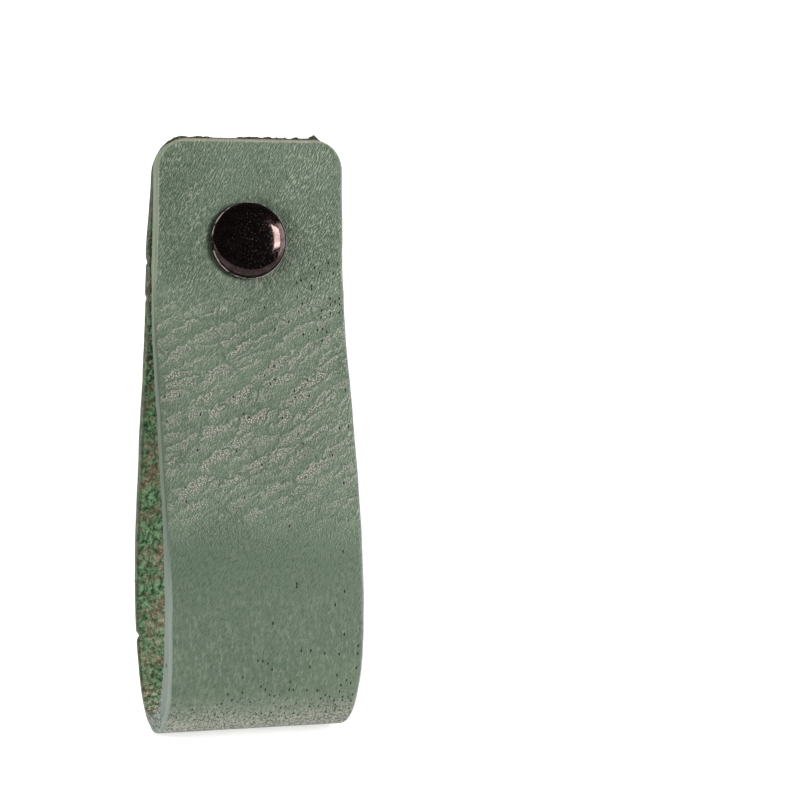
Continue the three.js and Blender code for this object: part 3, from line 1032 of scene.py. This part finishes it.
def black_nickel():
    material, tree = new_material("black_nickel")
    place = put(tree, "ShaderNodeTexCoord").outputs["Object"]
    haze = noise(tree, place, 900, 3.0, 0.6)
    film = spots(tree, place, 4800, 0.30, 0.85, "3D")
    dust = spots(tree, place, 2600, 0.13, 0.55, "3D")
    lint = spots(tree, vector_calc(tree, "ADD", place, (0.02, 0.01, 0.03)), 1100, 0.09, 0.12, "3D")
    specks = calc(tree, "MAXIMUM", times(tree, film, 0.40), calc(tree, "MAXIMUM", dust, lint))
    colour = tint(tree, ramp(tree, haze, 0.4, 0.6), NICKEL, NICKEL_DEEP)
    colour = tint(tree, times(tree, specks, 0.55), colour, NICKEL_DUST)
    y = parts(tree, place)[1]
    above_seat = calc(tree, "SUBTRACT", CAP_BACK, y)
    # A dull pale ring on the rim: worn plating, and a painted highlight standing in for the rim's
    # bright line
    rim = within(tree, above_seat, (0.82 * MM, 0.72 * MM), (0.40 * MM, 0.46 * MM))
    rim = times(tree, rim, ramp(tree, haze, 0.38, 0.55, 0.1, 0.9))
    colour = tint(tree, rim, colour, WORN_RIM_HIGHLIGHT)
    rough = weighed(tree, haze, 0.08, 0.07)
    rough = weighed(tree, calc(tree, "MAXIMUM", specks, rim), 0.5, rough)
    surface(tree, colour, rough, haze, 0.005, Metallic=calc(tree, "SUBTRACT", 1.0, rim))
    return material


cap = show("cap_nut_turned", turn_on_lathe("cap_nut_turned", cap_profile()))
soften(cap.data)
cap.data.materials.append(black_nickel())
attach(cap, "root")
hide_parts("cap_nut")

# Mounting screw
# Bright zinc plated machine screw, M4 with a pan head and a cross recess. It comes through the
# panel from behind and threads into the cap nut's post.
screw_low, screw_high = (Vector(corner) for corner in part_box("mounting_screw"))
HEAD_HEIGHT = 2.6 * MM
HEAD_RIM = 0.8 * MM
THREAD_PITCH = 0.7 * MM
THREAD_RADIUS = 2 * MM
THREAD_FOOT = 0.46  # reach of the ridge's foot, in pitches
CORE_RADIUS = 1.55 * MM
SHANK_RADIUS = 1.8 * MM
TIP_CHAMFER = 0.5 * MM
UNTHREADED = 1.2 * MM
RECESS_WIDTH, RECESS_FOOT = 4.4 * MM, 1.8 * MM
RECESS_DEPTH, RECESS_SLOT = 1.7 * MM, 0.9 * MM
SCREW_SEGMENTS = 96
ZINC, ZINC_DULL = (0.60, 0.61, 0.63), (0.50, 0.50, 0.50)


def zinced_steel():
    material, tree = new_material("zinced_steel")
    place = put(tree, "ShaderNodeTexCoord").outputs["Object"]
    haze = noise(tree, place, 700, 3.0, 0.6)
    colour = tint(tree, ramp(tree, haze, 0.35, 0.65), ZINC, ZINC_DULL)
    rough = weighed(tree, haze, 0.18, 0.22)
    surface(tree, colour, rough, haze, 0.05, Metallic=1.0)
    return material


def screw_body():
    seat = screw_high.y - HEAD_HEIGHT
    radius = screw_high.x
    dome = arc((0, seat + HEAD_RIM), (radius, HEAD_HEIGHT - HEAD_RIM), 0, 90, 14)
    profile = [
        (0, screw_low.y),
        (CORE_RADIUS - TIP_CHAMFER, screw_low.y),
        (CORE_RADIUS, screw_low.y + TIP_CHAMFER),
        (CORE_RADIUS, seat - UNTHREADED),
        (SHANK_RADIUS, seat - UNTHREADED * 0.6),
        (SHANK_RADIUS, seat),
        (radius - RIM_CHAMFER, seat),
        (radius, seat + RIM_CHAMFER),
    ] + dome[:-1] + [(0, screw_high.y)]
    return turn_on_lathe("mounting_screw", profile, SCREW_SEGMENTS)


def recess_cutter():
    """Two crossed wedges, where the driver goes in."""
    points, faces = [], []
    top = screw_high.y + MM
    foot = screw_high.y - RECESS_DEPTH
    outline = (
        (-RECESS_FOOT / 2, foot), (RECESS_FOOT / 2, foot), (RECESS_WIDTH / 2, screw_high.y),
        (RECESS_WIDTH / 2, top), (-RECESS_WIDTH / 2, top), (-RECESS_WIDTH / 2, screw_high.y),
    )
    corners = len(outline)
    for turned in (False, True):
        first = len(points)
        for side in (-RECESS_SLOT / 2, RECESS_SLOT / 2):
            points += [(side, y, -reach) if turned else (reach, y, side) for reach, y in outline]
        near = list(range(first, first + corners))
        far = [i + corners for i in near]
        faces += [tuple(reversed(near)), tuple(far)]
        for i in range(corners):
            j = (i + 1) % corners
            faces.append((near[i], near[j], far[j], far[i]))
    mesh = bpy.data.meshes.new("recess")
    mesh.from_pydata(points, [], faces)
    return mesh


def thread_tree():
    """A ridge of triangular section wound round the screw's core."""
    tree, given = new_tree("wind_thread", [
        ("Pitch", "NodeSocketFloat"),
        ("Threaded Length", "NodeSocketFloat"),
        ("Core Radius", "NodeSocketFloat"),
        ("Thread Radius", "NodeSocketFloat"),
        ("Start", "NodeSocketFloat"),
        ("Screw Material", "NodeSocketMaterial"),
    ])
    turns = calc(tree, "DIVIDE", given["Threaded Length"], given["Pitch"])
    spiral = put(
        tree, "GeometryNodeCurveSpiral",
        {"Resolution": 28, "Rotations": turns, "Start Radius": given["Core Radius"],
         "End Radius": given["Core Radius"], "Height": given["Threaded Length"]},
    ).outputs[0]
    spiral = put(tree, "GeometryNodeSetCurveNormal", {"Curve": spiral}, mode="Z_UP").outputs[0]
    depth = calc(tree, "SUBTRACT", given["Thread Radius"], given["Core Radius"])
    ridge = put(
        tree, "GeometryNodeCurvePrimitiveCircle", {"Resolution": 3, "Radius": 1.0}, mode="RADIUS",
    ).outputs[0]
    width = times(tree, given["Pitch"], THREAD_FOOT)
    ridge = put(
        tree, "GeometryNodeTransform",
        {"Geometry": ridge, "Rotation": Euler((0, 0, math.pi)),
         "Scale": joined(tree, depth, width, 1.0)},
    ).outputs[0]
    wound = put(
        tree, "GeometryNodeCurveToMesh",
        {"Curve": spiral, "Profile Curve": ridge, "Fill Caps": True},
    ).outputs[0]
    laid = put(
        tree, "GeometryNodeTransform",
        {"Geometry": wound, "Rotation": Euler((-math.pi / 2, 0, 0)),
         "Translation": joined(tree, 0.0, given["Start"], 0.0)},
    ).outputs[0]
    both = put(tree, "GeometryNodeJoinGeometry").inputs[0]
    tree.links.new(laid, both)
    tree.links.new(given["Geometry"], both)
    real = put(tree, "GeometryNodeRealizeInstances", {"Geometry": both.node.outputs[0]}).outputs[0]
    covered = put(
        tree, "GeometryNodeSetMaterial", {"Geometry": real, "Material": given["Screw Material"]},
    )
    finish_tree(tree, covered.outputs[0])
    return tree


screw = show("machine_screw", screw_body())
cutter = show("recess", recess_cutter())
cut = screw.modifiers.new("recess", "BOOLEAN")
cut.object = cutter
cut.use_self = True
run_tree(screw, thread_tree(), {
    "Pitch": THREAD_PITCH,
    "Threaded Length": screw_high.y - HEAD_HEIGHT - UNTHREADED - screw_low.y - TIP_CHAMFER,
    "Core Radius": CORE_RADIUS,
    "Thread Radius": THREAD_RADIUS,
    "Start": screw_low.y + TIP_CHAMFER,
    "Screw Material": zinced_steel(),
})
screw.modifiers.clear()
bpy.data.objects.remove(cutter)
soften(screw.data)
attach(screw, "root")
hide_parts("mounting_screw")

# Stage
# A sweep of white paper that glows a little, and four soft lights with a weak fill: the key at
# the front right, a wide one beside it, one high at the front left, a tall strip on the left.
SWEEP_FRONT, SWEEP_BACK, SWEEP_HALF_WIDTH = -0.09, 0.9, 1.2
SWEEP_BEND, SWEEP_TOP, SWEEP_STEPS = 0.3, 1.2, 16
PAPER_WHITE, PAPER_GLOW, FILL = 0.70, 0.62, 0.12
FLOOR_Z = strap_low.z - SAG - 0.2 * MM


def sweep():
    line = [(SWEEP_FRONT, FLOOR_Z), (SWEEP_BACK - SWEEP_BEND, FLOOR_Z)]
    for step in range(1, SWEEP_STEPS + 1):
        turn = math.pi / 2 * step / SWEEP_STEPS
        line.append((
            SWEEP_BACK - SWEEP_BEND + SWEEP_BEND * math.sin(turn),
            FLOOR_Z + SWEEP_BEND - SWEEP_BEND * math.cos(turn),
        ))
    line.append((SWEEP_BACK, SWEEP_TOP))
    points = [(side * SWEEP_HALF_WIDTH, y, z) for y, z in line for side in (-1, 1)]
    faces = [(2 * i, 2 * i + 1, 2 * i + 3, 2 * i + 2) for i in range(len(line) - 1)]
    mesh = bpy.data.meshes.new("sweep")
    mesh.from_pydata(points, [], faces)
    mesh.polygons.foreach_set("use_smooth", [True] * len(faces))
    material, tree = new_material("white_paper")
    shader = surface(tree, (PAPER_WHITE, PAPER_WHITE, PAPER_WHITE, 1), 0.9)
    shader.inputs["Emission Color"].default_value = (1, 1, 1, 1)
    shader.inputs["Emission Strength"].default_value = PAPER_GLOW
    mesh.materials.append(material)
    return mesh


floor = show("sweep", sweep())


def softbox(name, place, aim, size, power, tone=(1, 1, 1), shines=True):
    """A lamp turned to the object. One that doesn't shine is left out of mirror reflections."""
    light = bpy.data.lights.new(name, "AREA")
    light.shape = "RECTANGLE"
    light.size, light.size_y = size
    light.energy = power
    light.color = tone
    lamp = bpy.data.objects.new(name, light)
    lamp.location = place
    lamp.rotation_euler = (Vector(aim) - Vector(place)).to_track_quat("-Z", "Y").to_euler()
    lamp.visible_glossy = shines
    bpy.context.collection.objects.link(lamp)


middle = (strap_low + strap_high) / 2
softbox("key", (0.50, -0.52, 0.09), middle, (0.26, 0.27), 6.15)
softbox("top", (-0.38, -0.42, 0.45), middle, (0.6, 0.5), 1.85, shines=False)
softbox("side", (0.62, -0.12, 0.05), middle, (0.5, 0.5), 4.4, (1.0, 0.93, 0.95))
softbox("left", (-0.55, -0.03, 0.02), middle, (0.12, 0.5), 3.9, shines=False)
world = bpy.data.worlds.new("studio")
bpy.context.scene.world = world
world.use_nodes = True
background = world.node_tree.nodes["Background"].inputs
background["Color"].default_value = (1, 1, 1, 1)
background["Strength"].default_value = FILL
bpy.context.scene.view_settings.view_transform = "Standard"

# Camera
# Level with the loop, looking down by a degree from its left, about a quarter of a metre away.
DOWN, TO_THE_RIGHT = math.radians(1.03), math.radians(17.8)
camera_data = bpy.data.cameras.new("camera")
camera_data.lens = 89.4
camera_data.clip_start = 0.01
camera = bpy.data.objects.new("camera", camera_data)
camera.location = (-0.0604, -0.2578, -0.0161)
camera.rotation_euler = (math.pi / 2 - DOWN, 0, -TO_THE_RIGHT)
bpy.context.collection.objects.link(camera)
bpy.context.scene.camera = camera
